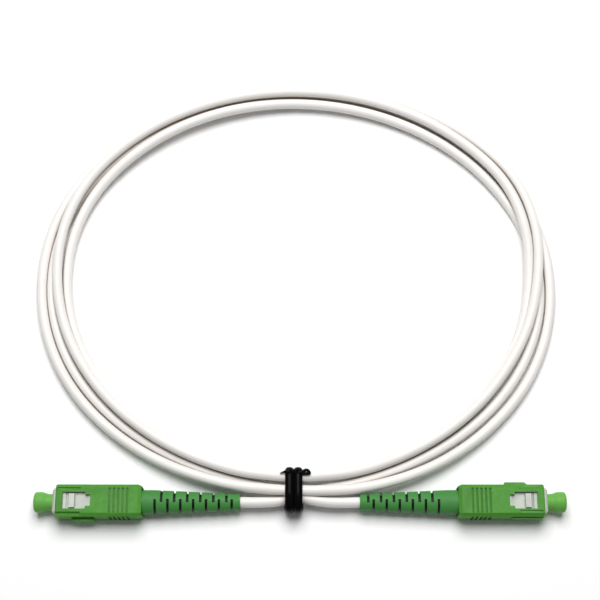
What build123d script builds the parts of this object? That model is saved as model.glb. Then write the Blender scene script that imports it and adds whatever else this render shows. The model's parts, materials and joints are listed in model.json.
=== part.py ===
"""Simplex fiber optic patch cord: two push-pull plugs on one coiled and tied 3 mm cord.

Both plugs are the same part.  The right one points along +X with its key towards +Y, and the
left one is the same plug turned half a turn about +Z.  Distances called "stations" are measured
outwards along a plug's axis from the plane x = 0, midway between the two plugs.
"""

from build123d import *
import math
import os

# ---------------------------------------------------------------- driving dimensions, in mm
AXIS_HEIGHT = 3.7                 # plug axis above the surface that the cord lies on
CORD_DIAMETER = 3.0

# outer housing: the sliding grip
HOUSING_WIDTH = 9.0               # across the key faces, Y
HOUSING_HEIGHT = 2 * AXIS_HEIGHT  # across the window faces, Z
HOUSING_REAR = 44.4
HOUSING_FRONT_CHAMFER = 0.3
HOUSING_REAR_CHAMFER = 0.45      # on the rear face
HOUSING_REAR_SLOPE = 1.1          # along the sides
CORNER_ACROSS = 0.9               # long corner bevels, across and down
CORNER_DOWN = 0.6
HOUSING_FRONT = 68.6
CAVITY_WIDTH = 7.6
CAVITY_HEIGHT = 6.0
REAR_CAVITY_HEIGHT = 6.6
REAR_CAVITY_DEPTH = 4.0
WINDOW_REAR = 60.2
WINDOW_FRONT = 66.6
WINDOW_WIDTH = 4.7
WINDOW_NECK_REAR = 58.8
WINDOW_NECK_WIDTH = 3.2
KEY_REAR = 57.9
KEY_FRONT = 64.2
KEY_WIDTH = 2.2
KEY_RISE = 1.0
GRIP_FIRST = 48.45
GRIP_PITCH = 1.24
GRIP_COUNT = 5
GRIP_GROOVE = 0.58
GRIP_LENGTH = 7.0
GRIP_DEPTH = 0.36
SIDE_GRIP_LENGTH = 5.8
REBATE_LENGTH = 7.0
REBATE_ACROSS = 1.25
REBATE_DOWN = 0.5
CHANNEL_WIDTH = 0.8
CHANNEL_DEPTH = 0.25
CHANNEL_INSET = 1.3               # middle of the channel from the housing's edge
GUIDE_LENGTH = 9.0
GUIDE_RISE = 0.25

# plug frame: the fixed inner body
FRAME_WIDTH = 7.4
FRAME_HEIGHT = 5.8
FRAME_REAR = 50.0
FRAME_FRONT = 69.6
FRONT_BORE_RADIUS = 2.45
FRONT_WALL_FRONT = 63.6
FRONT_WALL_REAR = 62.4
GUIDE_HOLE_RADIUS = 1.3
REAR_BORE_RADIUS = 2.3
RIB_REAR = 63.3
RIB_FRONT = 64.9
RIB_WIDTH = 3.9
RIB_TOP = 3.4
POCKET_DEPTH = 0.25
FRAME_CORNER_RADIUS = 0.9
FRAME_CHAMFER = 0.6

# ferrule, its flange and spring
FERRULE_RADIUS = 1.25
FERRULE_REAR = 60.6
FERRULE_TIP = 72.2
TIP_ANGLE = 8
FIBER_HOLE_RADIUS = 0.0625
FLANGE_RADIUS = 2.15
FLANGE_FRONT = 62.3
FLANGE_REAR = 59.6
STEM_RADIUS = 1.2
STEM_REAR = 54.5
STEM_BORE_RADIUS = 0.7
SPRING_RADIUS = 1.75
SPRING_WIRE_RADIUS = 0.22
SPRING_COILS = 6

# stop ring, crimp and what it clamps
STOP_FACE = 52.5
STOP_NOSE_RADIUS = 2.28
STOP_COLLAR_RADIUS = 2.8
STOP_COLLAR_REAR = 48.8
BARREL_RADIUS = 1.9
BARREL_REAR = 42.5
BARREL_BORE_RADIUS = 1.35
YARN_RADIUS = 2.12
YARN_REAR = 43.0
CRIMP_RADIUS = 2.5
CRIMP_FRONT = 48.6
CRIMP_STEP = 41.6
CRIMP_REAR = 38.6
CRIMP_NECK_RADIUS = 2.0
JACKET_END = 41.4
BUFFER_RADIUS = 0.45
BUFFER_TIP = 57.6
FIT_GAP = 0.03                    # radial gap between pieces that are pushed together

# strain relief boot
BOOT_FRONT = 46.6
BOOT_COLLAR_REAR = 41.6
BOOT_REAR = 16.8
BOOT_COLLAR_HALF_WIDTH = 3.45
BOOT_COLLAR_HALF_HEIGHT = 3.0
BOOT_REAR_RADIUS = 2.3
BOOT_SOCKET_RADIUS = 2.58
BOOT_SOCKET_REAR = 38.2
SLOT_DEPTH = 0.62
SOCKET_SLOT_DEPTH = 0.2           # where the slots run over the crimp socket
SLOT_WIDTH = 0.65
SLOT_PAST_CENTRE = 0.4
KEY_SLOT_FIRST = 19.2
KEY_SLOT_PITCH = 3.6
KEY_SLOT_COUNT = {-1: 7, 1: 6}      # the left boot has one more, next to its collar
BACK_SLOT_FIRST = 20.7
BACK_SLOT_PITCH = 3.66
BACK_SLOT_COUNT = 6

# dust cap
CAP_INNER_END = 65.2
CAP_WAIST = 70.7
CAP_SHOULDER = 73.0
CAP_OUTER_END = 75.0
CAP_SKIRT_RADIUS = 2.33
CAP_RADIUS = 2.88
CAP_EDGE_RADIUS = 0.8
CAP_BORE_RADIUS = 1.3
CAP_BORE_END = 72.7

# coil of four turns, and the tie around it
COIL_CENTRE_X = -1.3
COIL_FRONT = 1.75                 # near edge of the coil, Y
COIL_BACK = 131.3                 # far edge of the coil, Y
COIL_HALF_LENGTH = 76.6           # along X, to the outermost turn
COIL_FRONT_BAND = 7.1             # width of the band of strands near the tie
COIL_BACK_BAND = 8.2
COIL_SIDE_BAND = 10.8
COIL_HEIGHT = 5.6
COIL_EDGE = 1.3
TIE_CENTRE_X = -1.7
TIE_STRAP_WIDTH = 2.2
TIE_STRAP_THICKNESS = 1.2
TIE_STRAP_PITCH = 2.35
BUNDLE_NEAR = -0.95               # the squeezed bundle inside the tie
BUNDLE_FAR = 8.85
BUNDLE_BOTTOM = 1.35
BUNDLE_TOP = 7.35
BUNDLE_CORNER = 1.4
BUNDLE_HALF_LENGTH = 2.9
TAIL_RADIUS = 0.45

SIDES = {"left": -1, "right": 1}


# ---------------------------------------------------------------- planes of one plug
def cross_plane(side, station):
    """Plane square to a plug's axis: local X points to the key, local Y up, normal outwards."""
    return Plane(origin=(side * station, 0, AXIS_HEIGHT), x_dir=(0, side, 0), z_dir=(side, 0, 0))


def profile_plane(side):
    """Upright plane through a plug's axis: local X is the station, local Y the height over it."""
    return Plane(origin=(0, 0, AXIS_HEIGHT), x_dir=(side, 0, 0), z_dir=(0, -side, 0))


def flat_plane(side, height):
    """Level plane: local X is the station, local Y points to the key, height over the axis."""
    return Plane(origin=(0, 0, AXIS_HEIGHT + height), x_dir=(side, 0, 0), z_dir=(0, 0, 1))


PLUG_AXIS = Axis(origin=(0, 0, AXIS_HEIGHT), direction=(1, 0, 0))


def band(first, last):
    """Middle and length of the stretch between two stations."""
    return (first + last) / 2, last - first


# ---------------------------------------------------------------- pieces of one plug
def outer_housing(side):
    """Grip that slides on the plug frame, with a latch window above and below and a key."""
    length = HOUSING_FRONT - HOUSING_REAR
    half_width = HOUSING_WIDTH / 2
    half_height = HOUSING_HEIGHT / 2
    quarter = (
        (half_width, half_height - CORNER_DOWN),
        (half_width - CORNER_ACROSS, half_height),
    )
    section = [
        *quarter,
        *[(-across, up) for across, up in reversed(quarter)],
        *[(-across, -up) for across, up in quarter],
        *[(across, -up) for across, up in reversed(quarter)],
    ]
    rear, front = (0, -1) if side > 0 else (-1, 0)
    with BuildPart() as housing:
        with BuildSketch(cross_plane(side, HOUSING_REAR)):
            Polygon(*section, align=None)
        extrude(amount=length)
        chamfer(housing.faces().sort_by(Axis.X)[front].edges(), HOUSING_FRONT_CHAMFER)
        rear_face = housing.faces().sort_by(Axis.X)[rear]
        chamfer(
            rear_face.edges(),
            length=HOUSING_REAR_CHAMFER,
            length2=HOUSING_REAR_SLOPE,
            reference=rear_face,
        )

        # low guide pad on the face away from the key
        pad_middle, pad_length = band(HOUSING_FRONT - GUIDE_LENGTH, HOUSING_FRONT - 0.4)
        with BuildSketch(flat_plane(side, -1.9)):
            with Locations((pad_middle, -half_width)):
                Rectangle(pad_length, 2 * GUIDE_RISE)
        extrude(amount=3.8)

        # key with a sloped front end
        with BuildSketch(flat_plane(side, -KEY_WIDTH / 2)):
            with BuildLine():
                Polyline(
                    (KEY_REAR, half_width - 0.3),
                    (KEY_REAR, half_width + KEY_RISE),
                    (KEY_FRONT - 0.8, half_width + KEY_RISE),
                    (KEY_FRONT, half_width + 0.35),
                    (KEY_FRONT, half_width - 0.3),
                    close=True,
                )
            make_face()
        extrude(amount=KEY_WIDTH)

        # rebates along the two front corners on the key face
        rebate_middle, rebate_length = band(HOUSING_FRONT - REBATE_LENGTH, HOUSING_FRONT)
        with BuildSketch(cross_plane(side, HOUSING_FRONT - REBATE_LENGTH)):
            with Locations(
                (half_width, half_height),
                (half_width, -half_height),
            ):
                Rectangle(2 * REBATE_ACROSS, 2 * REBATE_DOWN)
        extrude(amount=rebate_length, mode=Mode.SUBTRACT)

        # shallow channels along the other two front corners
        with BuildSketch(cross_plane(side, HOUSING_FRONT - REBATE_LENGTH)):
            with Locations(
                (CHANNEL_INSET - half_width, half_height),
                (CHANNEL_INSET - half_width, -half_height),
            ):
                Rectangle(CHANNEL_WIDTH, 2 * CHANNEL_DEPTH)
        extrude(amount=REBATE_LENGTH - 0.6, mode=Mode.SUBTRACT)

        # grip grooves above and below, then on both sides
        grip_stations = [GRIP_FIRST + GRIP_PITCH * i for i in range(GRIP_COUNT)]
        for level in (half_height - GRIP_DEPTH, -half_height):
            with BuildSketch(flat_plane(side, level)):
                with Locations(*[(station, 0) for station in grip_stations]):
                    Rectangle(GRIP_GROOVE, GRIP_LENGTH)
            extrude(amount=GRIP_DEPTH, mode=Mode.SUBTRACT)
        with BuildSketch(flat_plane(side, -SIDE_GRIP_LENGTH / 2)):
            for edge in (half_width, -half_width):
                with Locations(*[(station, edge) for station in grip_stations]):
                    Rectangle(GRIP_GROOVE, 2 * GRIP_DEPTH)
        extrude(amount=SIDE_GRIP_LENGTH, mode=Mode.SUBTRACT)

        # the cavity, wider at the rear where it slides over the boot's collar
        with BuildSketch(cross_plane(side, HOUSING_REAR)):
            RectangleRounded(CAVITY_WIDTH, CAVITY_HEIGHT, 0.4)
        extrude(amount=length, mode=Mode.SUBTRACT)
        with BuildSketch(cross_plane(side, HOUSING_REAR)):
            RectangleRounded(CAVITY_WIDTH, REAR_CAVITY_HEIGHT, 0.4)
        extrude(amount=REAR_CAVITY_DEPTH, mode=Mode.SUBTRACT)

        # latch windows above and below, necked at the rear
        window_middle, window_length = band(WINDOW_REAR, WINDOW_FRONT)
        neck_middle, neck_length = band(WINDOW_NECK_REAR, WINDOW_FRONT)
        with BuildSketch(flat_plane(side, -HOUSING_HEIGHT)):
            with Locations((window_middle, 0)):
                Rectangle(window_length, WINDOW_WIDTH)
            with Locations((neck_middle, 0)):
                Rectangle(neck_length, WINDOW_NECK_WIDTH)
        extrude(amount=2 * HOUSING_HEIGHT, mode=Mode.SUBTRACT)
    return housing.part


def plug_frame(side):
    """Inner body that holds the ferrule; its two ribs stand in the housing's windows."""
    with BuildPart() as plug:
        with BuildSketch(cross_plane(side, FRAME_REAR)):
            RectangleRounded(FRAME_WIDTH, FRAME_HEIGHT, FRAME_CORNER_RADIUS)
        extrude(amount=FRAME_FRONT - FRAME_REAR)
        front = plug.faces().sort_by(Axis.X)[-1 if side > 0 else 0]
        chamfer(front.edges(), FRAME_CHAMFER)

        # pockets in front of and behind the ribs
        pocket_middle, pocket_length = band(WINDOW_NECK_REAR + 0.6, WINDOW_FRONT - 0.9)
        for level in (FRAME_HEIGHT / 2 - POCKET_DEPTH, -FRAME_HEIGHT / 2):
            with BuildSketch(flat_plane(side, level)):
                with Locations((pocket_middle, 0)):
                    Rectangle(pocket_length, RIB_WIDTH + 1.2)
            extrude(amount=POCKET_DEPTH, mode=Mode.SUBTRACT)

        # the ribs, above and below
        rib_middle, rib_length = band(RIB_REAR, RIB_FRONT)
        with BuildSketch(flat_plane(side, -RIB_TOP)):
            with Locations((rib_middle, 0)):
                Rectangle(rib_length, RIB_WIDTH)
        extrude(amount=2 * RIB_TOP)

        # front bore around the ferrule, guide hole, and rear bore for flange and spring
        with BuildSketch(cross_plane(side, FRONT_WALL_FRONT)):
            Circle(FRONT_BORE_RADIUS)
        extrude(amount=FRAME_FRONT - FRONT_WALL_FRONT, mode=Mode.SUBTRACT)
        with BuildSketch(cross_plane(side, FRAME_REAR)):
            Circle(GUIDE_HOLE_RADIUS)
        extrude(amount=FRAME_FRONT - FRAME_REAR, mode=Mode.SUBTRACT)
        with BuildSketch(cross_plane(side, FRAME_REAR)):
            Circle(REAR_BORE_RADIUS)
        extrude(amount=FRONT_WALL_REAR - FRAME_REAR, mode=Mode.SUBTRACT)
    return plug.part


def ferrule(side):
    """Ceramic ferrule with its fiber hole; the tip is ground at an angle and chamfered."""
    length = FERRULE_TIP - FERRULE_REAR
    with BuildPart() as rod:
        with BuildSketch(cross_plane(side, FERRULE_REAR)):
            Circle(FERRULE_RADIUS)
        extrude(amount=length)
        tip = rod.faces().sort_by(Axis.X)[-1 if side > 0 else 0]
        chamfer(tip.edges(), 0.45)
        drop = 2 * FERRULE_RADIUS * math.tan(math.radians(TIP_ANGLE))
        with BuildSketch(profile_plane(side)):
            with BuildLine():
                Polyline(
                    (FERRULE_TIP - drop, FERRULE_RADIUS + 0.1),
                    (FERRULE_TIP, -FERRULE_RADIUS),
                    (FERRULE_TIP + 1, -FERRULE_RADIUS),
                    (FERRULE_TIP + 1, FERRULE_RADIUS + 0.1),
                    close=True,
                )
            make_face()
        extrude(amount=2 * FERRULE_RADIUS, both=True, mode=Mode.SUBTRACT)
        with BuildSketch(cross_plane(side, FERRULE_REAR)):
            Circle(FIBER_HOLE_RADIUS)
        extrude(amount=length, mode=Mode.SUBTRACT)
    return rod.part


def ferrule_flange(side):
    """Metal flange pressed on the ferrule, with the stem that guides the spring."""
    with BuildPart() as flange:
        with BuildSketch(profile_plane(side)):
            with BuildLine():
                Polyline(
                    (STEM_REAR, STEM_BORE_RADIUS),
                    (STEM_REAR, STEM_RADIUS),
                    (FLANGE_REAR, STEM_RADIUS),
                    (FLANGE_REAR, FLANGE_RADIUS),
                    (FLANGE_FRONT - 0.4, FLANGE_RADIUS),
                    (FLANGE_FRONT, FLANGE_RADIUS - 0.4),
                    (FLANGE_FRONT, FERRULE_RADIUS),
                    (FERRULE_REAR, FERRULE_RADIUS),
                    (FERRULE_REAR, STEM_BORE_RADIUS),
                    close=True,
                )
            make_face()
        revolve(axis=PLUG_AXIS)
        # four keyways that tune the angle of the tip
        with BuildSketch(cross_plane(side, FLANGE_REAR)):
            with PolarLocations(FLANGE_RADIUS, 4):
                Rectangle(0.5, 0.7)
        extrude(amount=FLANGE_FRONT - FLANGE_REAR, mode=Mode.SUBTRACT)
    return flange.part


def ferrule_spring(side):
    """Coil spring between the stop ring and the flange."""
    inset = SPRING_WIRE_RADIUS + FIT_GAP
    start = STOP_FACE + inset
    travel = FLANGE_REAR - inset - start
    with BuildPart() as spring:
        with BuildLine() as path:
            Helix(
                pitch=travel / SPRING_COILS,
                height=travel,
                radius=SPRING_RADIUS,
                center=(side * start, 0, AXIS_HEIGHT),
                direction=(side, 0, 0),
            )
        with BuildSketch(Plane(origin=path.line @ 0, z_dir=path.line % 0)):
            Circle(SPRING_WIRE_RADIUS)
        sweep(path=path.line, is_frenet=True)
    return spring.part


def stop_ring(side):
    """Turned body pressed in the frame's rear; its grooved barrel takes the crimp."""
    with BuildPart() as ring:
        with BuildSketch(profile_plane(side)):
            with BuildLine():
                Polyline(
                    (BARREL_REAR, BARREL_BORE_RADIUS),
                    (BARREL_REAR, BARREL_RADIUS),
                    (STOP_COLLAR_REAR, BARREL_RADIUS),
                    (STOP_COLLAR_REAR, STOP_COLLAR_RADIUS),
                    (FRAME_REAR, STOP_COLLAR_RADIUS),
                    (FRAME_REAR, STOP_NOSE_RADIUS),
                    (STOP_FACE, STOP_NOSE_RADIUS),
                    (STOP_FACE, BARREL_BORE_RADIUS),
                    close=True,
                )
            make_face()
        revolve(axis=PLUG_AXIS)
        for station in (44.0, 45.2, 46.4, 47.6):
            with BuildSketch(cross_plane(side, station)):
                Circle(BARREL_RADIUS + 0.1)
                Circle(BARREL_RADIUS - 0.15, mode=Mode.SUBTRACT)
            extrude(amount=0.3, mode=Mode.SUBTRACT)
    return ring.part


def tube(side, first, last, outer, inner):
    """Plain sleeve on the plug's axis between two stations."""
    with BuildPart() as sleeve:
        with BuildSketch(cross_plane(side, first)):
            Circle(outer)
            Circle(inner, mode=Mode.SUBTRACT)
        extrude(amount=last - first)
    return sleeve.part


def aramid_yarn(side):
    """Strength yarn folded back over the barrel, under the crimp sleeve."""
    return tube(side, YARN_REAR, CRIMP_FRONT - 0.1, YARN_RADIUS, BARREL_RADIUS + FIT_GAP)


def fiber_buffer(side):
    """Tight-buffered fiber between the jacket's end and the ferrule's stem."""
    return tube(side, JACKET_END, BUFFER_TIP, BUFFER_RADIUS, FIBER_HOLE_RADIUS)


def jacket_tail(side):
    """End of the cord's jacket, held inside the boot and the crimp's neck."""
    return tube(side, BOOT_REAR, JACKET_END, CORD_DIAMETER / 2, BUFFER_RADIUS + FIT_GAP)


def crimp_sleeve(side):
    """Stepped sleeve crimped over the barrel, with a neck on the jacket."""
    with BuildPart() as sleeve:
        with BuildSketch(profile_plane(side)):
            with BuildLine():
                Polyline(
                    (CRIMP_REAR, CORD_DIAMETER / 2 + FIT_GAP),
                    (CRIMP_REAR, CRIMP_NECK_RADIUS),
                    (CRIMP_STEP, CRIMP_NECK_RADIUS),
                    (CRIMP_STEP + 0.6, CRIMP_RADIUS),
                    (CRIMP_FRONT, CRIMP_RADIUS),
                    (CRIMP_FRONT, YARN_RADIUS + FIT_GAP),
                    (CRIMP_STEP + 0.6, YARN_RADIUS + FIT_GAP),
                    (CRIMP_STEP, CORD_DIAMETER / 2 + FIT_GAP),
                    close=True,
                )
            make_face()
        revolve(axis=PLUG_AXIS)
    return sleeve.part


def strain_boot(side):
    """Tapered rubber boot, slotted from both sides in turn so that it bends."""
    with BuildPart() as boot:
        with BuildSketch(cross_plane(side, BOOT_COLLAR_REAR)) as collar:
            Ellipse(BOOT_COLLAR_HALF_WIDTH, BOOT_COLLAR_HALF_HEIGHT)
        extrude(amount=BOOT_FRONT - BOOT_COLLAR_REAR)
        with BuildSketch(cross_plane(side, BOOT_REAR)) as rear:
            Circle(BOOT_REAR_RADIUS)
        loft(sections=[rear.sketch, collar.sketch])

        # slots: (direction of the open side, first station, pitch, count)
        rows = (
            (1, KEY_SLOT_FIRST, KEY_SLOT_PITCH, KEY_SLOT_COUNT[side]),
            (-1, BACK_SLOT_FIRST, BACK_SLOT_PITCH, BACK_SLOT_COUNT),
        )
        for towards, first, pitch, count in rows:
            for i in range(count):
                middle = first + pitch * i
                over_socket = middle + SLOT_WIDTH > BOOT_SOCKET_REAR
                depth = SOCKET_SLOT_DEPTH if over_socket else SLOT_DEPTH
                share = (middle - BOOT_REAR) / (BOOT_COLLAR_REAR - BOOT_REAR)
                half_width = BOOT_REAR_RADIUS + share * (BOOT_COLLAR_HALF_WIDTH - BOOT_REAR_RADIUS)
                half_height = BOOT_REAR_RADIUS + share * (BOOT_COLLAR_HALF_HEIGHT - BOOT_REAR_RADIUS)
                with BuildSketch(cross_plane(side, middle - SLOT_WIDTH / 2)):
                    with Locations((towards * (4 - SLOT_PAST_CENTRE), 0)):
                        Rectangle(8, 8)
                    Ellipse(half_width - depth, half_height - depth, mode=Mode.SUBTRACT)
                extrude(amount=SLOT_WIDTH, mode=Mode.SUBTRACT)

        with BuildSketch(cross_plane(side, BOOT_REAR)):
            Circle(CORD_DIAMETER / 2 + FIT_GAP)
        extrude(amount=BOOT_FRONT - BOOT_REAR, mode=Mode.SUBTRACT)
        with BuildSketch(cross_plane(side, BOOT_SOCKET_REAR)):
            Circle(BOOT_SOCKET_RADIUS)
        extrude(amount=BOOT_FRONT - BOOT_SOCKET_REAR, mode=Mode.SUBTRACT)
    return boot.part


def dust_cap(side):
    """Moulded cap pushed over the ferrule, waisted, with a thicker outer end to pull."""
    with BuildPart() as cap:
        with BuildSketch(profile_plane(side)):
            with BuildLine():
                Spline(
                    (CAP_WAIST, CAP_SKIRT_RADIUS),
                    (CAP_SHOULDER, CAP_RADIUS),
                    tangents=((1, 0), (1, 0)),
                )
                Line(
                    (CAP_SHOULDER, CAP_RADIUS),
                    (CAP_OUTER_END - CAP_EDGE_RADIUS, CAP_RADIUS),
                )
                RadiusArc(
                    (CAP_OUTER_END - CAP_EDGE_RADIUS, CAP_RADIUS),
                    (CAP_OUTER_END, CAP_RADIUS - CAP_EDGE_RADIUS),
                    CAP_EDGE_RADIUS,
                )
                Polyline(
                    (CAP_OUTER_END, CAP_RADIUS - CAP_EDGE_RADIUS),
                    (CAP_OUTER_END, 0),
                    (CAP_BORE_END, 0),
                    (CAP_BORE_END, CAP_BORE_RADIUS),
                    (CAP_INNER_END, CAP_BORE_RADIUS),
                    (CAP_INNER_END, CAP_SKIRT_RADIUS),
                    (CAP_WAIST, CAP_SKIRT_RADIUS),
                )
            make_face()
        revolve(axis=PLUG_AXIS)
    return cap.part


# ---------------------------------------------------------------- cord
def cord_coil():
    """Outer shape of the four oval turns, with the squeezed bundle that the tie holds."""
    outer_half = (COIL_BACK - COIL_FRONT) / 2
    outer_middle = (COIL_BACK + COIL_FRONT) / 2
    inner_near = COIL_FRONT + COIL_FRONT_BAND
    inner_far = COIL_BACK - COIL_BACK_BAND
    bundle_y, bundle_width = band(BUNDLE_NEAR, BUNDLE_FAR)
    bundle_z, bundle_height = band(BUNDLE_BOTTOM, BUNDLE_TOP)
    bundle_start = TIE_CENTRE_X - BUNDLE_HALF_LENGTH
    with BuildPart() as coil:
        with BuildSketch(Plane.XY):
            with Locations((COIL_CENTRE_X, outer_middle)):
                Ellipse(COIL_HALF_LENGTH, outer_half)
            with Locations((COIL_CENTRE_X, (inner_near + inner_far) / 2)):
                Ellipse(
                    COIL_HALF_LENGTH - COIL_SIDE_BAND,
                    (inner_far - inner_near) / 2,
                    mode=Mode.SUBTRACT,
                )
        extrude(amount=COIL_HEIGHT)
        chamfer(coil.edges().filter_by(GeomType.LINE, reverse=True), COIL_EDGE)
        with Locations((TIE_CENTRE_X, bundle_y, bundle_z)):
            Box(2 * BUNDLE_HALF_LENGTH, 30, 30, mode=Mode.SUBTRACT)
        with BuildSketch(Plane.YZ.offset(bundle_start)):
            with Locations((bundle_y, bundle_z)):
                RectangleRounded(bundle_width, bundle_height, BUNDLE_CORNER)
        extrude(amount=2 * BUNDLE_HALF_LENGTH)
    return coil.part


def cord_lead(route):
    """Free stretch of cord between a boot and the tied bundle, through the points of route."""
    radii = []
    for before, corner, after in zip(route, route[1:], route[2:]):
        run_in = Vector(*corner) - Vector(*before)
        run_out = Vector(*after) - Vector(*corner)
        half_turn = math.radians(run_in.get_angle(run_out)) / 2
        radii.append(0.45 * min(run_in.length, run_out.length) / math.tan(half_turn))
    print("radii of the lead's bends, mm:", [round(radius, 1) for radius in radii])
    with BuildPart() as lead:
        with BuildLine() as path:
            FilletPolyline(*route, radius=radii)
        with BuildSketch(Plane(origin=path.line @ 0, z_dir=path.line % 0)):
            Circle(CORD_DIAMETER / 2)
        sweep(path=path.line)
    length = sum(edge.length for edge in path.edges())
    straight_volume = math.pi * (CORD_DIAMETER / 2) ** 2 * length
    print("lead volume over section times length:", round(lead.part.volume / straight_volume, 4))
    return lead.part


LEFT_ROUTE = [
    (-BOOT_REAR, 0, AXIS_HEIGHT),
    (-10.8, -0.25, 3.85),
    (TIE_CENTRE_X - BUNDLE_HALF_LENGTH, 0.1, 4.2),
]
RIGHT_ROUTE = [
    (BOOT_REAR, 0, AXIS_HEIGHT),
    (9.2, -0.3, 3.9),
    (TIE_CENTRE_X + BUNDLE_HALF_LENGTH, 0.1, 4.2),
]


def twist_tie():
    """Two wraps of a coated wire around the bundle, and its two short twisted-off tails."""
    bundle_y, bundle_width = band(BUNDLE_NEAR - FIT_GAP, BUNDLE_FAR + FIT_GAP)
    bundle_z, bundle_height = band(BUNDLE_BOTTOM - FIT_GAP, BUNDLE_TOP + FIT_GAP)
    grown = 2 * TIE_STRAP_THICKNESS
    tail_height = BUNDLE_TOP + 0.75
    left_edge = TIE_CENTRE_X - TIE_STRAP_PITCH / 2 - TIE_STRAP_WIDTH / 2
    right_edge = TIE_CENTRE_X + TIE_STRAP_PITCH / 2 + TIE_STRAP_WIDTH / 2
    with BuildPart() as tie:
        for i in (-0.5, 0.5):
            start = TIE_CENTRE_X + i * TIE_STRAP_PITCH - TIE_STRAP_WIDTH / 2
            with BuildSketch(Plane.YZ.offset(start)):
                with Locations((bundle_y, bundle_z)):
                    RectangleRounded(
                        bundle_width + grown,
                        bundle_height + grown,
                        BUNDLE_CORNER + TIE_STRAP_THICKNESS,
                    )
                    RectangleRounded(
                        bundle_width, bundle_height, BUNDLE_CORNER, mode=Mode.SUBTRACT
                    )
            extrude(amount=TIE_STRAP_WIDTH)
        # short bridge that joins the wraps on top
        with Locations((TIE_CENTRE_X, bundle_y + 2.6, tail_height - 0.1)):
            Box(1.2, 1.6, 0.7)
        for tail in (
            [(left_edge + 0.8, 7.9, tail_height), (left_edge - 0.6, 8.4, tail_height - 0.2),
             (left_edge - 1.9, 8.2, tail_height - 0.7)],
            [(right_edge - 0.8, 9.0, tail_height - 0.4), (right_edge + 1.0, 9.4, tail_height - 0.5),
             (right_edge + 2.3, 8.4, tail_height - 0.9)],
        ):
            with BuildLine() as path:
                FilletPolyline(*tail, radius=0.8)
            with BuildSketch(Plane(origin=path.line @ 0, z_dir=path.line % 0)):
                Circle(TAIL_RADIUS)
            sweep(path=path.line)
    return tie.part


# ---------------------------------------------------------------- write every piece
def write(piece, name):
    """Label a finished piece and write its STEP file."""
    piece.label = name
    export_step(piece, f"parts/{name}.step")


PLUG_PIECES = (
    outer_housing,
    plug_frame,
    dust_cap,
    ferrule,
    ferrule_flange,
    ferrule_spring,
    stop_ring,
    aramid_yarn,
    crimp_sleeve,
    fiber_buffer,
    jacket_tail,
    strain_boot,
)

os.makedirs("parts", exist_ok=True)
for side_name, side_sign in SIDES.items():
    for make_piece in PLUG_PIECES:
        write(make_piece(side_sign), f"{make_piece.__name__}_{side_name}")
write(cord_coil(), "cord_coil")
write(cord_lead(LEFT_ROUTE), "cord_lead_left")
write(cord_lead(RIGHT_ROUTE), "cord_lead_right")
write(twist_tie(), "twist_tie")
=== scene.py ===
"""Looks of the coiled fiber optic patch cord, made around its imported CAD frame."""
import bmesh
import bpy
import json
import math
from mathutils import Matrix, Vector


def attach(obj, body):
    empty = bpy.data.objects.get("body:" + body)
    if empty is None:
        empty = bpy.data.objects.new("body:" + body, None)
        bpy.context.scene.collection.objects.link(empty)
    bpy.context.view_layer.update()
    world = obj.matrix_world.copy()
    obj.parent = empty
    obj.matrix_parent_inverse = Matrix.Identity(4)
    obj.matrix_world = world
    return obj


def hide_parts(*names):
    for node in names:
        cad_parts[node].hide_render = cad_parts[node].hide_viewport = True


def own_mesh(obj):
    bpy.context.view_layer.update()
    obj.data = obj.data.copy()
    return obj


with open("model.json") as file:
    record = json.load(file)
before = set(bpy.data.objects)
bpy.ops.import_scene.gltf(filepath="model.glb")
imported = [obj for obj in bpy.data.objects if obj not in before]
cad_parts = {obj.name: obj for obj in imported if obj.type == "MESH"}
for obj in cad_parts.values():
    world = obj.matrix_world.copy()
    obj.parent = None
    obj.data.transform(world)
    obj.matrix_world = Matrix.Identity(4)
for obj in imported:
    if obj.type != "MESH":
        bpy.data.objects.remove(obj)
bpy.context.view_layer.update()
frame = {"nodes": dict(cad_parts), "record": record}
scene = bpy.context.scene
MM = 0.001
SIDES = ("left", "right")

# ---------------------------------------------------------------- camera
CAMERA_ELEVATION = math.radians(72)
CAMERA_DISTANCE = 418 * MM
CAMERA_TARGET = Vector((0, 61.3 * MM, 0))
LENS = 84
SENSOR_WIDTH = 36
NEAREST_SEEN = 10 * MM


def make_camera():
    data = bpy.data.cameras.new("camera")
    data.lens = LENS
    data.sensor_width = SENSOR_WIDTH
    data.clip_start = NEAREST_SEEN
    camera = bpy.data.objects.new("camera", data)
    back = Vector((0, -math.cos(CAMERA_ELEVATION), math.sin(CAMERA_ELEVATION)))
    camera.location = CAMERA_TARGET + back * CAMERA_DISTANCE
    camera.rotation_euler = (math.pi / 2 - CAMERA_ELEVATION, 0, 0)
    scene.collection.objects.link(camera)
    scene.camera = camera


make_camera()

# ---------------------------------------------------------------- cord route, in millimetres
CORD_RADIUS = 1.5
AXIS_HEIGHT = 3.7
COIL_CENTRE = (-1.3, 66.5)
COIL_HALF_AXES = (75.1, 63.3)       # centreline of the outermost place in the coil
TIE_ANGLE = -90                     # the tie's place on the coil, in degrees anticlockwise from +X
POINTS_PER_TURN = 24
CORD_STEPS = 10                     # steps along each span of the spline
CORD_ROUNDNESS = 8                  # fineness of the cord's round section

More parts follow.
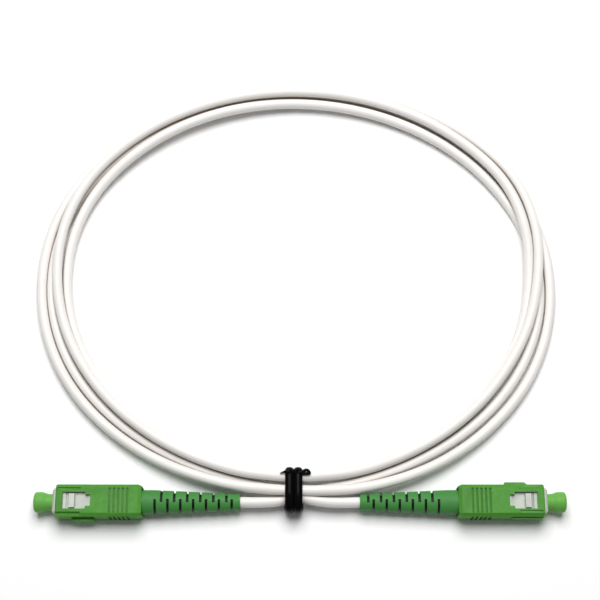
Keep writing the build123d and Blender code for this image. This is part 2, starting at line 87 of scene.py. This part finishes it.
# Where each turn lies: (inset from the outermost place, height) at the angles of STATIONS,
# in degrees anticlockwise from +X.
STATIONS = (-78, -66, -45, -28, 0, 12, 25, 45, 64, 90, 113, 135, 155, 180, 209, 239, 259)
TURNS = (
    ((1.0, 3.0), (1.6, 2.4), (1.7, 1.9), (1.8, 1.7), (2.4, 1.5), (3.2, 1.5), (4.2, 1.5),
     (5.0, 1.9), (5.4, 2.3), (5.4, 2.7), (5.6, 3.8), (5.7, 3.4), (5.7, 2.5), (7.1, 1.9),
     (7.2, 1.7), (6.0, 1.6), (4.4, 2.6)),
    ((4.3, 2.6), (4.9, 1.6), (5.9, 1.6), (6.2, 1.6), (6.1, 2.9), (4.3, 4.3), (1.75, 4.4),
     (1.9, 4.4), (2.0, 4.4), (2.15, 4.4), (1.9, 4.3), (1.7, 4.2), (1.9, 4.2), (4.4, 3.8),
     (5.5, 4.1), (4.9, 4.3), (3.9, 5.5)),
    ((3.4, 5.5), (4.2, 4.6), (5.0, 4.5), (5.5, 4.4), (3.55, 4.3), (1.2, 4.3), (-1.75, 4.0),
     (-1.6, 2.6), (-1.25, 1.6), (-0.7, 1.5), (0.5, 1.5), (-0.1, 1.5), (-0.9, 1.7), (-0.5, 2.0),
     (-0.85, 2.2), (-0.4, 3.0), (-0.1, 5.2)),
    ((-1.1, 5.2), (-1.95, 3.9), (-1.95, 2.4), (-1.8, 1.7), (-0.7, 1.5), (-0.6, 1.5), (-0.2, 1.5),
     (1.0, 1.5), (1.9, 1.5), (2.5, 1.5), (3.5, 1.5), (3.2, 1.5), (2.3, 1.5), (2.4, 1.5),
     (2.35, 1.5), (2.65, 1.6), (1.5, 2.6)),
)

# The stretches outside the coil, and the passes through the tie
LEFT_LEAD = ((-20, 0, 3.7), (-16.8, 0, 3.7), (-10.8, -0.1, 3.85), (-5.6, 0.3, 3.8), (-1.9, 1.7, 3.1),
             (2.2, 3.1, 2.85))
PASSES = (
    ((-6.0, 7.2, 2.8), (-1.7, 7.3, 2.8), (3.0, 7.2, 2.8)),
    ((-6.0, 7.0, 5.7), (-1.7, 7.0, 5.75), (3.0, 6.9, 5.7)),
    ((-6.0, 3.1, 5.6), (-1.7, 3.15, 5.75), (3.0, 2.9, 5.6)),
)
RIGHT_LEAD = ((-5.2, 3.6, 2.9), (-1.6, 2.2, 3.9), (2.6, 0.7, 4.1), (9.2, -0.2, 3.9), (16.8, 0, 3.7),
              (20, 0, 3.7))


def at_angle(values, angle):
    """Smooth value of a turn at an angle, from its values at STATIONS."""
    last = len(STATIONS) - 1
    i = max(k for k in range(last) if STATIONS[k] <= angle)
    span = STATIONS[i + 1] - STATIONS[i]
    share = (angle - STATIONS[i]) / span

    def slope(k):
        low, high = max(k - 1, 0), min(k + 1, last)
        return (values[high] - values[low]) / (STATIONS[high] - STATIONS[low])

    start, end = values[i], values[i + 1]
    return (
        start * (1 + 2 * share) * (1 - share) ** 2
        + slope(i) * span * share * (1 - share) ** 2
        + end * share ** 2 * (3 - 2 * share)
        - slope(i + 1) * span * share ** 2 * (1 - share)
    )


def turn_points(turn):
    """Control points of one turn, from just right of the tie round to just left of it."""
    insets = [inset for inset, _ in turn]
    heights = [height for _, height in turn]
    step = 360 / POINTS_PER_TURN
    # a quadratic spline runs inside its control points, so these stand out by this factor
    grow = 2 / (1 + math.cos(math.radians(step / 2)) ** 2)
    half_width, half_depth = COIL_HALF_AXES
    points = []
    for k in range(1, POINTS_PER_TURN):
        angle = TIE_ANGLE + step * k
        if not STATIONS[0] <= angle <= STATIONS[-1]:
            continue
        cosine, sine = math.cos(math.radians(angle)), math.sin(math.radians(angle))
        across = Vector((half_depth * cosine, half_width * sine)).normalized()
        inset = at_angle(insets, angle)
        x = COIL_CENTRE[0] + grow * half_width * cosine - inset * across.x
        y = COIL_CENTRE[1] + grow * half_depth * sine - inset * across.y
        points.append((x, y, at_angle(heights, angle)))
    return points


def cord_points():
    """Control points of the whole cord: left lead, four turns and the passes between, right lead."""
    points = list(LEFT_LEAD)
    for turn, between in zip(TURNS, PASSES + (RIGHT_LEAD,)):
        points += turn_points(turn)
        points += list(between)
    return points


def make_cord():
    points = cord_points()
    data = bpy.data.curves.new("cord", "CURVE")
    data.dimensions = "3D"
    spline = data.splines.new("NURBS")
    spline.points.add(len(points) - 1)
    for point, place in zip(spline.points, points):
        point.co = (place[0] * MM, place[1] * MM, place[2] * MM, 1)
    spline.order_u = 3
    spline.use_endpoint_u = True
    data.resolution_u = CORD_STEPS
    data.bevel_depth = CORD_RADIUS * MM
    data.bevel_resolution = CORD_ROUNDNESS
    data.use_fill_caps = True
    cord = bpy.data.objects.new("cord", data)
    scene.collection.objects.link(cord)
    return cord


cord = make_cord()


# ---------------------------------------------------------------- node helpers
MIX_INPUTS = (0, 6, 7)              # a colour mix node's share, first and second colour
MIX_OUTPUT = 2
NOISE_RANGE = (0.3, 0.7)            # most of a noise's values
EDGE_RANGE = (0.55, 0.64)           # pointiness, from a flat to an outer edge
RECESS_SAMPLES = 12                 # rays that feel for walls nearby


def put(tree, socket, value):
    """Links value into a socket if it is another socket, or else sets it there as a number."""
    if isinstance(value, bpy.types.NodeSocket):
        tree.links.new(value, socket)
    else:
        socket.default_value = value


def calc(tree, operation, *values):
    made = tree.nodes.new("ShaderNodeMath")
    made.operation = operation
    for socket, value in zip(made.inputs, values):
        put(tree, socket, value)
    return made.outputs[0]


def place(tree, stretch=(1, 1, 1)):
    """Object coordinates, in metres of the shared frame, stretched along the axes."""
    coordinates = tree.nodes.new("ShaderNodeTexCoord")
    mapping = tree.nodes.new("ShaderNodeMapping")
    mapping.inputs["Scale"].default_value = stretch
    tree.links.new(coordinates.outputs["Object"], mapping.inputs["Vector"])
    return mapping.outputs[0]


def noise(tree, size, stretch=(1, 1, 1), detail=3, roughness=0.55):
    """Noise between 0 and 1 whose lumps are about size metres across."""
    made = tree.nodes.new("ShaderNodeTexNoise")
    made.inputs["Scale"].default_value = 1 / size
    made.inputs["Detail"].default_value = detail
    made.inputs["Roughness"].default_value = roughness
    tree.links.new(place(tree, stretch), made.inputs["Vector"])
    return made.outputs["Fac"]


def spread(tree, value, low, high, to_low=0.0, to_high=1.0):
    """Value eased from the range low..high to the range to_low..to_high."""
    made = tree.nodes.new("ShaderNodeMapRange")
    made.interpolation_type = "SMOOTHSTEP"
    for socket, given in zip(made.inputs, (value, low, high, to_low, to_high)):
        put(tree, socket, given)
    return made.outputs[0]


def blend_colours(tree, share, first, second):
    made = tree.nodes.new("ShaderNodeMix")
    made.data_type = "RGBA"
    for index, value in zip(MIX_INPUTS, (share, first, second)):
        if isinstance(value, tuple):
            value = (*value, 1)
        put(tree, made.inputs[index], value)
    return made.outputs[MIX_OUTPUT]


def relief(tree, shader, *layers):
    """Bump layers, each (height socket, depth in metres), added up on the shader's normal."""
    normal = None
    for height, depth in layers:
        made = tree.nodes.new("ShaderNodeBump")
        made.inputs["Distance"].default_value = depth
        made.inputs["Strength"].default_value = 1
        tree.links.new(height, made.inputs["Height"])
        if normal:
            tree.links.new(normal, made.inputs["Normal"])
        normal = made.outputs[0]
    tree.links.new(normal, shader.inputs["Normal"])


def convex(tree):
    """1 on outer edges and 0 on flats."""
    geometry = tree.nodes.new("ShaderNodeNewGeometry")
    return spread(tree, geometry.outputs["Pointiness"], *EDGE_RANGE)


def recess(tree, reach=0.9 * MM, shallow=0.95, deep=0.35):
    """1 deep in the piece's own grooves and slots, and 0 on its open surfaces; painted shade follows it."""
    made = tree.nodes.new("ShaderNodeAmbientOcclusion")
    made.samples = RECESS_SAMPLES
    made.only_local = True
    made.inputs["Distance"].default_value = reach
    return spread(tree, made.outputs["AO"], shallow, deep)


def shade(colour, factor):
    return tuple(min(1.0, part * factor) for part in colour)


def new_material(name, **numbers):
    """Material with one principled shader; the numbers are set on its own sockets."""
    material = bpy.data.materials.new(name)
    material.use_nodes = True
    tree = material.node_tree
    shader = tree.nodes["Principled BSDF"]
    for key, value in numbers.items():
        shader.inputs[key.replace("_", " ")].default_value = value
    return material, tree, shader


# ---------------------------------------------------------------- materials
CLOUD_SIZE = 4 * MM                 # mottling of moulded plastic
HIGHLIGHT_PATCH_SIZE = 1.2 * MM                # patches where the painted highlight on its edges is stronger and weaker
GLOSS_SIZE = 1.5 * MM               # patches of higher and lower gloss
GLOSS_SWING = 0.07                  # how far the roughness goes each way
SINK_SIZE = 6 * MM                  # shallow unevenness of its faces
SINK_DEPTH = 0.03 * MM
GROOVE_SHADE_BRIGHTNESS = 0.25                   # brightness of the painted shade in grooves, as a share of the plain colour
SLOT_SHADE_BRIGHTNESS = 0.04                    # the same for the slots of the boot


def moulded(name, colour, rough, mottle=0.06, grain=0.35 * MM, depth=0.006 * MM, edge_highlight=1.25,
            groove_shade=0.85, slot_shade_mask=None, **numbers):
    """Moulded plastic: faint mottling, fine spark-eroded grain, a painted highlight on outer edges, painted
    shade in its grooves and, given a slot mask, in slots.
    """
    material, tree, shader = new_material(name, **numbers)
    cloud = noise(tree, CLOUD_SIZE)
    body = blend_colours(tree, cloud, shade(colour, 1 - mottle), shade(colour, 1 + mottle))
    # painted highlight: outer edges lightened, stronger in some patches than others
    highlight_patches = spread(tree, noise(tree, HIGHLIGHT_PATCH_SIZE), *NOISE_RANGE, 0.45, 1.0)
    body = blend_colours(tree, calc(tree, "MULTIPLY", convex(tree), highlight_patches), body, shade(colour, edge_highlight))
    # painted shade: darker deep in the piece's own grooves and recesses
    groove_shade_mask = calc(tree, "MULTIPLY", recess(tree), groove_shade)
    body = blend_colours(tree, groove_shade_mask, body, shade(colour, GROOVE_SHADE_BRIGHTNESS))
    # painted shade: the boot's slots darkened nearly to black
    if slot_shade_mask:
        body = blend_colours(tree, slot_shade_mask(tree), body, shade(colour, SLOT_SHADE_BRIGHTNESS))
    put(tree, shader.inputs["Base Color"], body)
    gloss = spread(tree, noise(tree, GLOSS_SIZE), *NOISE_RANGE, rough - GLOSS_SWING, rough + GLOSS_SWING)
    put(tree, shader.inputs["Roughness"], gloss)
    relief(tree, shader, (noise(tree, grain), depth), (noise(tree, SINK_SIZE), SINK_DEPTH))
    return material


def metal(name, colour, rough, stretch=(0.06, 1, 1)):
    """Turned or drawn metal: fine lines along the axes where stretch is small, and stained patches."""
    material, tree, shader = new_material(name, Metallic=1.0)
    lines = noise(tree, 0.05 * MM, stretch)
    stain = spread(tree, noise(tree, 1.5 * MM), 0.45, 0.75, to_high=0.35)
    body = blend_colours(tree, lines, shade(colour, 0.88), shade(colour, 1.1))
    body = blend_colours(tree, stain, body, shade(colour, 0.55))
    put(tree, shader.inputs["Base Color"], body)
    put(tree, shader.inputs["Roughness"], spread(tree, lines, 0.2, 0.8, rough - 0.08, rough + 0.1))
    relief(tree, shader, (lines, 0.004 * MM))
    return material


def fibrous(name, colour):
    """Yarn laid along X: strands, with darker gaps between them."""
    material, tree, shader = new_material(name, Sheen_Weight=0.4, Sheen_Roughness=0.4)
    strands = noise(tree, 0.18 * MM, (0.03, 1, 1), detail=4)
    body = blend_colours(tree, spread(tree, strands, 0.35, 0.65), shade(colour, 0.45), shade(colour, 1.15))
    put(tree, shader.inputs["Base Color"], body)
    put(tree, shader.inputs["Roughness"], spread(tree, strands, *NOISE_RANGE, 0.7, 0.5))
    relief(tree, shader, (strands, 0.08 * MM))
    return material


def jacket_material():
    """Extruded jacket: warm white, faintly cloudy, with fine drag texture, handling marks and painted shade
    in the gaps between strands.
    """
    warm, light = (0.85, 0.825, 0.79), (0.875, 0.852, 0.825)
    # the second colour is the painted shade between strands
    handled, painted_gap_shade = (0.76, 0.72, 0.67), (0.46, 0.385, 0.32)
    material, tree, shader = new_material("jacket", Specular_IOR_Level=0.35)
    body = blend_colours(tree, spread(tree, noise(tree, 9 * MM), *NOISE_RANGE), warm, light)
    marks = spread(tree, noise(tree, 2.5 * MM, detail=6, roughness=0.7), 0.62, 0.78, to_high=0.35)
    body = blend_colours(tree, marks, body, handled)
    # painted shade: darker brown where strands lie close together
    gap_shade_mask = recess(tree, reach=1.6 * MM, shallow=0.62, deep=0.15)
    body = blend_colours(tree, gap_shade_mask, body, painted_gap_shade)
    put(tree, shader.inputs["Base Color"], body)
    put(tree, shader.inputs["Roughness"], spread(tree, noise(tree, 3 * MM), *NOISE_RANGE, 0.36, 0.5))
    relief(tree, shader, (noise(tree, 0.25 * MM), 0.006 * MM), (noise(tree, 2.2 * MM), 0.02 * MM))
    return material


BOOT_ENDS = (16.8 * MM, 41.6 * MM)       # stations of the boot's thin end and of its collar
BOOT_HALF_WIDTHS = (2.3 * MM, 3.45 * MM)
BOOT_HALF_HEIGHTS = (2.3 * MM, 3.0 * MM)
SLOT_RANGE = (0.985, 0.95)               # from a slot's edge inwards, as shares of the taper's size


def boot_slots(tree):
    """1 in the boot's slots, below its outer taper, and 0 on the taper itself; painted shade follows it."""
    parts = tree.nodes.new("ShaderNodeSeparateXYZ")
    tree.links.new(place(tree), parts.inputs[0])
    station = calc(tree, "ABSOLUTE", parts.outputs[0])

    def taper(sizes):
        made = tree.nodes.new("ShaderNodeMapRange")
        for socket, given in zip(made.inputs, (station, *BOOT_ENDS, *sizes)):
            put(tree, socket, given)
        return made.outputs[0]

    across = calc(tree, "DIVIDE", parts.outputs[1], taper(BOOT_HALF_WIDTHS))
    height = calc(tree, "SUBTRACT", parts.outputs[2], AXIS_HEIGHT * MM)
    up = calc(tree, "DIVIDE", height, taper(BOOT_HALF_HEIGHTS))
    squares = calc(tree, "ADD", calc(tree, "POWER", across, 2), calc(tree, "POWER", up, 2))
    return spread(tree, calc(tree, "SQRT", squares), *SLOT_RANGE)


MATERIALS = {
    "housing": moulded("housing", (0.063, 0.243, 0.029), 0.42, groove_shade=0.45, Specular_IOR_Level=0.16),
    "frame": moulded("frame", (0.50, 0.525, 0.47), 0.45, mottle=0.03, edge_highlight=1.15, Specular_IOR_Level=0.3),
    "cap": moulded("cap", (0.134, 0.412, 0.068), 0.46, mottle=0.05, edge_highlight=1.12, Specular_IOR_Level=0.2),
    "boot": moulded("boot", (0.062, 0.250, 0.058), 0.50, grain=0.22 * MM, depth=0.01 * MM, edge_highlight=1.2,
                    slot_shade_mask=boot_slots, Specular_IOR_Level=0.18),
    "ceramic": moulded("ceramic", (0.86, 0.85, 0.81), 0.22, mottle=0.01, grain=0.12 * MM, depth=0.002 * MM,
                       edge_highlight=1.05, Coat_Weight=0.5, Coat_Roughness=0.08),
    "buffer": moulded("buffer", (0.82, 0.82, 0.80), 0.40, mottle=0.03, grain=0.1 * MM, depth=0.003 * MM),
    "nickel": metal("nickel", (0.62, 0.60, 0.56), 0.30, (1, 0.06, 0.06)),
    "spring": metal("spring", (0.58, 0.58, 0.58), 0.28, (0.3, 0.3, 0.3)),
    "stop_ring": metal("stop_ring", (0.70, 0.62, 0.45), 0.30, (1, 0.06, 0.06)),
    "crimp": metal("crimp", (0.66, 0.67, 0.68), 0.36),
    "yarn": fibrous("yarn", (0.74, 0.60, 0.16)),
    "tie": moulded("tie", (0.0028, 0.003, 0.003), 0.16, mottle=0.2, grain=0.5 * MM, depth=0.008 * MM,
                   edge_highlight=1.6, groove_shade=0.0, Specular_IOR_Level=0.035),
    "jacket": jacket_material(),
}

# ---------------------------------------------------------------- cord and the CAD nodes that stay
cord.data.materials.append(MATERIALS["jacket"])
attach(cord, "cord")
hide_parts("cord_coil", "cord_lead_left", "cord_lead_right")

for row in frame["record"]["subparts"]:
    node = frame["nodes"][row["node"]]
    node.data.materials.clear()
    node.data.materials.append(MATERIALS[row["material_slot"]])


# ---------------------------------------------------------------- moulded pieces with rounded edges
SEAM = 0.0005 * MM
ROUNDING_STEPS = 3


def joined_copy(node_name, piece_name):
    """Copy of a CAD solid with its seams joined."""
    mesh = frame["nodes"][node_name].data.copy()
    mesh.name = piece_name
    shape = bmesh.new()
    shape.from_mesh(mesh)
    bmesh.ops.remove_doubles(shape, verts=shape.verts, dist=SEAM)
    shape.to_mesh(mesh)
    shape.free()
    piece = bpy.data.objects.new(piece_name, mesh)
    scene.collection.objects.link(piece)
    return piece


def rounded_copy(node_name, piece_name, body, slot_name, radius, sharp_angle, crease_angle):
    """Copy of a CAD solid with its seams joined, its edges rounded and its low slopes kept crisp."""
    piece = joined_copy(node_name, piece_name)
    piece.data.shade_smooth()
    piece.data.set_sharp_from_angle(angle=math.radians(crease_angle))
    edges = piece.modifiers.new("rounded edges", "BEVEL")
    edges.width = radius
    edges.segments = ROUNDING_STEPS
    edges.limit_method = "ANGLE"
    edges.angle_limit = math.radians(sharp_angle)
    edges.use_clamp_overlap = True
    edges.harden_normals = True
    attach(piece, body)
    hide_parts(node_name)


ROUNDED = (
    # CAD piece, piece made here, body, slot, edge radius, angles that count as an edge and as a crease
    ("outer_housing", "sliding_grip", "grip_{}", "housing", 0.13 * MM, 28, 20),
    ("plug_frame", "inner_body", "cord", "frame", 0.09 * MM, 28, 28),
    ("strain_boot", "slotted_boot", "cord", "boot", 0.10 * MM, 40, 40),
    ("dust_cap", "pull_cap", "cap_{}", "cap", 0.12 * MM, 40, 40),
)
for side in SIDES:
    for cad_piece, made_piece, body, *details in ROUNDED:
        rounded_copy(f"{cad_piece}_{side}", f"{made_piece}_{side}", body.format(side), *details)


# ---------------------------------------------------------------- ferrule springs
JOINTS = {joint["name"]: joint for joint in frame["record"]["behaviour"]["joints"]}


def make_spring(side):
    """Spring that stands on the stop ring: a smooth-shaded copy of the CAD spring, with a mesh of its own.
    """
    joint = JOINTS[f"ferrule_float_{side}"]
    row = joint["deforming_nodes"][0]
    spring = joined_copy(row["node"], f"coil_spring_{side}")
    spring.data.shade_smooth()
    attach(spring, "cord")
    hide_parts(row["node"])
    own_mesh(spring)


for side in SIDES:
    make_spring(side)


# ---------------------------------------------------------------- twist tie, in millimetres
TIE_CENTRE = Vector((-1.75, 3.28, 4.35))
TIE_HALF_SIZE = (5.72, 3.42)             # centreline of a wrap, along Y and Z
TIE_SQUARENESS = 3.4                     # exponent of the rounded rectangle that a wrap follows
WRAP_OFFSET = 1.22                       # each wrap's middle from the tie's centre, along X
WRAP_HALF_WIDTH = 1.24
WRAP_HALF_THICKNESS = 0.80
WRAP_START = math.radians(-30)           # from +Y towards +Z
WRAP_TIP = 0.5                           # a wrap's size at its two ends, as a share of its full size
WRAP_TIP_GROWTH = 20                     # gain in that share over the length of both wraps
CROSSING_START = 0.88                    # turns after which the tie crosses to its second wrap
CROSSING_LENGTH = 0.24                   # turns that the crossing takes
FAN = 0.5                                # how far the wraps part, low on the near side
FAN_TOP = -0.1                           # sine of the angle below which they do
STEPS_PER_WRAP = 72
STEPS_PER_CORNER = 8                     # in a tail
RING_POINTS = 20

# Each tail's corners, and its half thickness at the start and at the end
TAILS = (
    (((-2.9, 7.9, 8.0), (-3.9, 7.95, 8.05), (-4.7, 7.8, 7.9), (-5.6, 7.5, 7.55)), 0.62, 0.12),
    (((-0.4, 7.5, 8.0), (0.6, 7.85, 8.1), (1.4, 8.3, 8.1), (2.1, 8.35, 8.0), (2.5, 7.95, 7.9),
      (2.6, 7.55, 7.8), (1.9, 7.45, 7.8), (1.0, 7.4, 7.8), (0.1, 7.4, 7.9)), 0.45, 0.45),
)


def rounded_power(value):
    """A cosine or sine, pushed out from the circle to the rounded rectangle."""
    return math.copysign(abs(value) ** (2 / TIE_SQUARENESS), value)


def wrap_point(turn):
    """Centreline of the tie after so many turns; it starts and ends low on the far side."""
    angle = WRAP_START - 2 * math.pi * turn
    y = TIE_CENTRE.y + TIE_HALF_SIZE[0] * rounded_power(math.cos(angle))
    z = TIE_CENTRE.z + TIE_HALF_SIZE[1] * rounded_power(math.sin(angle))
    # it crosses to the second wrap at the far side; both fan out a little low on the near side
    crossing = min(max((turn - CROSSING_START) / CROSSING_LENGTH, 0.0), 1.0)
    sideways = 2 * crossing * crossing * (3 - 2 * crossing) - 1
    fan = max(0.0, -math.cos(angle)) * max(0.0, FAN_TOP - math.sin(angle))
    x = TIE_CENTRE.x + WRAP_OFFSET * sideways * (1 + FAN * fan)
    return Vector((x, y, z))


def sweep_tube(shape, centres, across, half_sizes):
    """Closed tube along centres: across(tangent) is its width direction at a point, and
    half_sizes(share) its half width and half thickness there."""
    rings = []
    for i, centre in enumerate(centres):
        before, after = centres[max(i - 1, 0)], centres[min(i + 1, len(centres) - 1)]
        tangent = (after - before).normalized()
        width_way = across(tangent)
        thick_way = tangent.cross(width_way).normalized()
        half_width, half_thickness = half_sizes(i / (len(centres) - 1))
        ring = []
        for k in range(RING_POINTS):
            angle = 2 * math.pi * k / RING_POINTS
            offset = width_way * half_width * math.cos(angle) + thick_way * half_thickness * math.sin(angle)
            ring.append(shape.verts.new((centre + offset) * MM))
        rings.append(ring)
    for ring, following in zip(rings, rings[1:]):
        for k in range(RING_POINTS):
            beside = (k + 1) % RING_POINTS
            shape.faces.new((ring[k], ring[beside], following[beside], following[k]))
    shape.faces.new(list(reversed(rings[0])))
    shape.faces.new(rings[-1])


def square_to(axis):
    """Width direction: the axis, turned square to the tube."""
    def across(tangent):
        return (axis - tangent * axis.dot(tangent)).normalized()
    return across


def tapered(start, end):
    """Half sizes of a round section that goes evenly from start to end."""
    def half_sizes(share):
        radius = start + (end - start) * share
        return radius, radius
    return half_sizes


def smooth_path(corners):
    """Catmull-Rom points through corners."""
    padded = [corners[0], *corners, corners[-1]]
    points = []
    for a, b, c, d in zip(padded, padded[1:], padded[2:], padded[3:]):
        for k in range(STEPS_PER_CORNER):
            t = k / STEPS_PER_CORNER
            points.append(0.5 * (2 * b + (c - a) * t + (2 * a - 5 * b + 4 * c - d) * t * t
                                 + (3 * b - a - 3 * c + d) * t ** 3))
    points.append(corners[-1])
    return points


def wrap_size(share):
    """Half sizes along the wraps: full, narrowing quickly at both ends."""
    fullness = min(1.0, WRAP_TIP + min(share, 1 - share) * WRAP_TIP_GROWTH)
    return WRAP_HALF_WIDTH * fullness, WRAP_HALF_THICKNESS * fullness


def make_tie():
    shape = bmesh.new()
    turns = [i / STEPS_PER_WRAP for i in range(2 * STEPS_PER_WRAP + 1)]
    sweep_tube(shape, [wrap_point(turn) for turn in turns], square_to(Vector((1, 0, 0))), wrap_size)
    for corners, start, end in TAILS:
        path = smooth_path([Vector(corner) for corner in corners])
        sweep_tube(shape, path, square_to(Vector((0, 0, 1))), tapered(start, end))
    bmesh.ops.recalc_face_normals(shape, faces=shape.faces)
    mesh = bpy.data.meshes.new("wire_tie")
    shape.to_mesh(mesh)
    shape.free()
    mesh.shade_smooth()
    mesh.materials.append(MATERIALS["tie"])
    tie = bpy.data.objects.new("wire_tie", mesh)
    scene.collection.objects.link(tie)
    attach(tie, "cord")
    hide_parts("twist_tie")
    return tie


tie = make_tie()

# ---------------------------------------------------------------- stage, in metres
FLOOR_HALF_SIZE = 3.0
WORLD_STRENGTH = 0.15
KEY_PLACE = Vector((0, 0.33, 0.67))
KEY_AIM = Vector((0, 0.06, 0))
KEY_SIZE = 0.50
KEY_POWER = 6.25
WHITE = (1, 1, 1, 1)


def make_floor():
    half = FLOOR_HALF_SIZE
    corners = [(-half, -half, 0), (half, -half, 0), (half, half, 0), (-half, half, 0)]
    mesh = bpy.data.meshes.new("floor")
    mesh.from_pydata(corners, [], [(0, 1, 2, 3)])
    floor = bpy.data.objects.new("floor", mesh)
    scene.collection.objects.link(floor)
    paper = new_material("floor", Base_Color=WHITE, Roughness=0.9)[0]
    mesh.materials.append(paper)


def make_world():
    world = bpy.data.worlds.new("studio")
    scene.world = world
    world.use_nodes = True
    sky = world.node_tree.nodes["Background"]
    sky.inputs["Color"].default_value = WHITE
    sky.inputs["Strength"].default_value = WORLD_STRENGTH


def make_key_light():
    """Large square softbox, above and beyond the far side of the coil."""
    data = bpy.data.lights.new("key", "AREA")
    data.energy = KEY_POWER
    data.size = KEY_SIZE
    lamp = bpy.data.objects.new("key", data)
    lamp.location = KEY_PLACE
    lamp.rotation_euler = (KEY_AIM - KEY_PLACE).to_track_quat("-Z", "Y").to_euler()
    scene.collection.objects.link(lamp)


make_floor()
make_world()
make_key_light()
scene.view_settings.view_transform = "Standard"
